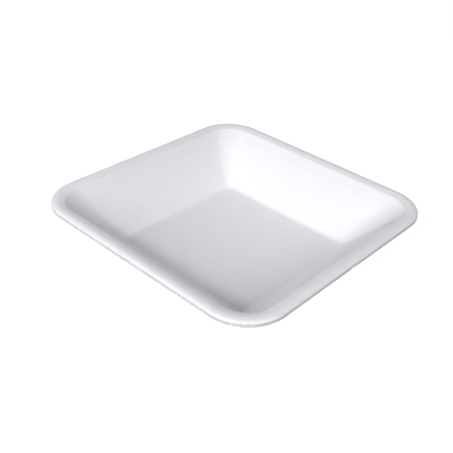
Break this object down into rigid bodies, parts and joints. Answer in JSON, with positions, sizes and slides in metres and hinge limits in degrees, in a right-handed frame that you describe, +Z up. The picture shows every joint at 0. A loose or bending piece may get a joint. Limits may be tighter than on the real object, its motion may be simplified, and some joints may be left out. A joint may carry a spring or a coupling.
{
  "type": "foam tray",
  "caption": "Shallow square tray of white moulded foam, with sloping walls, round corners and a thick turned-out rim.",
  "frame": {"origin": "under the middle of the base, on the surface that the tray stands on", "axes": "+Z up out of the open top; X and Y along the sides"},
  "size_m": [0.133, 0.133, 0.026],
  "materials": {
    "foam": "matte, fine closed-cell foam skin"
  },
  "bodies": {
    "root": {"tray": "foam"}
  },
  "joints": []
}
